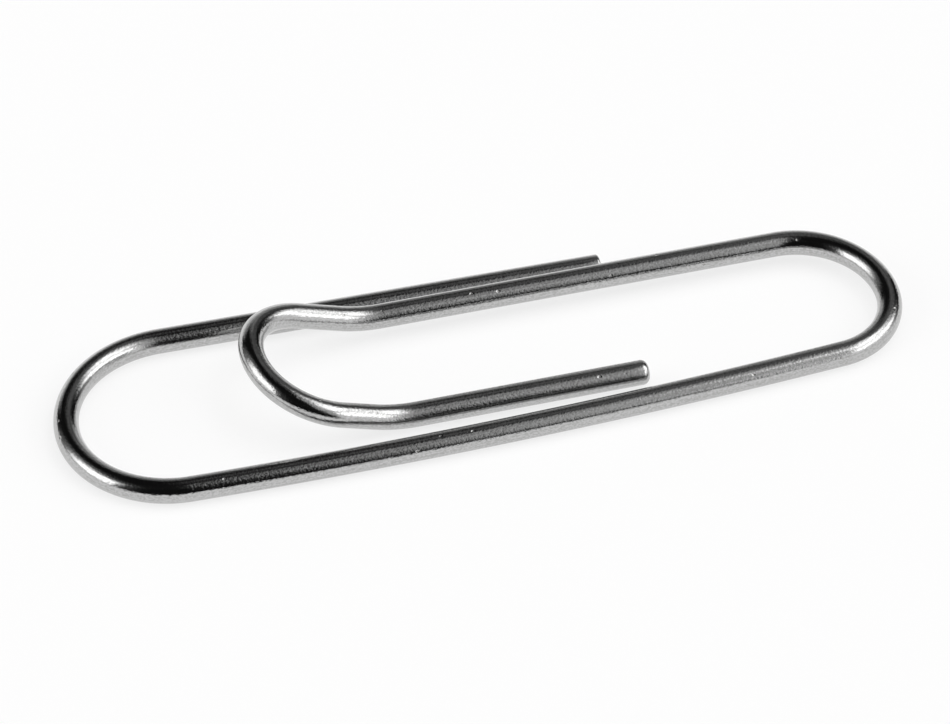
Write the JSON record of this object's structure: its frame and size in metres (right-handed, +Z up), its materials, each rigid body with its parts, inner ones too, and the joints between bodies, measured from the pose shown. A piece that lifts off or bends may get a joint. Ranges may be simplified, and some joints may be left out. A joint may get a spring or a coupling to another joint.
{
  "type": "paper clip",
  "caption": "Wire paper clip in bright-plated steel: an outer loop and an inner loop with a raised tongue that springs open to hold sheets of paper.",
  "frame": {"origin": "on the resting plane, below the middle of the clip's box", "axes": "+X along the clip towards the tail bend, +Y across it towards the outer leg, +Z up, towards the raised tongue"},
  "size_m": [0.033, 0.0092, 0.0029],
  "materials": {
    "plated_wire": "bright plated, drawn steel wire"
  },
  "bodies": {
    "outer_loop": {"outer_leg": "plated_wire", "outer_bend": "plated_wire", "long_leg": "plated_wire", "tail_bend_front": "plated_wire"},
    "inner_loop": {"tail_bend_back": "plated_wire", "middle_leg": "plated_wire", "lip_back": "plated_wire", "tongue_bend": "plated_wire", "lip_front": "plated_wire", "tongue_leg": "plated_wire"}
  },
  "joints": [
    {"name": "tail_twist", "type": "hinge", "parent": "outer_loop", "child": "inner_loop", "pos_m": [0.016, -0.00014, 0.00064], "axis": [0.0002, 0.9982, 0.0599], "range_deg": [0, 8], "stiffness_Nm_per_rad": 0.39}
  ]
}
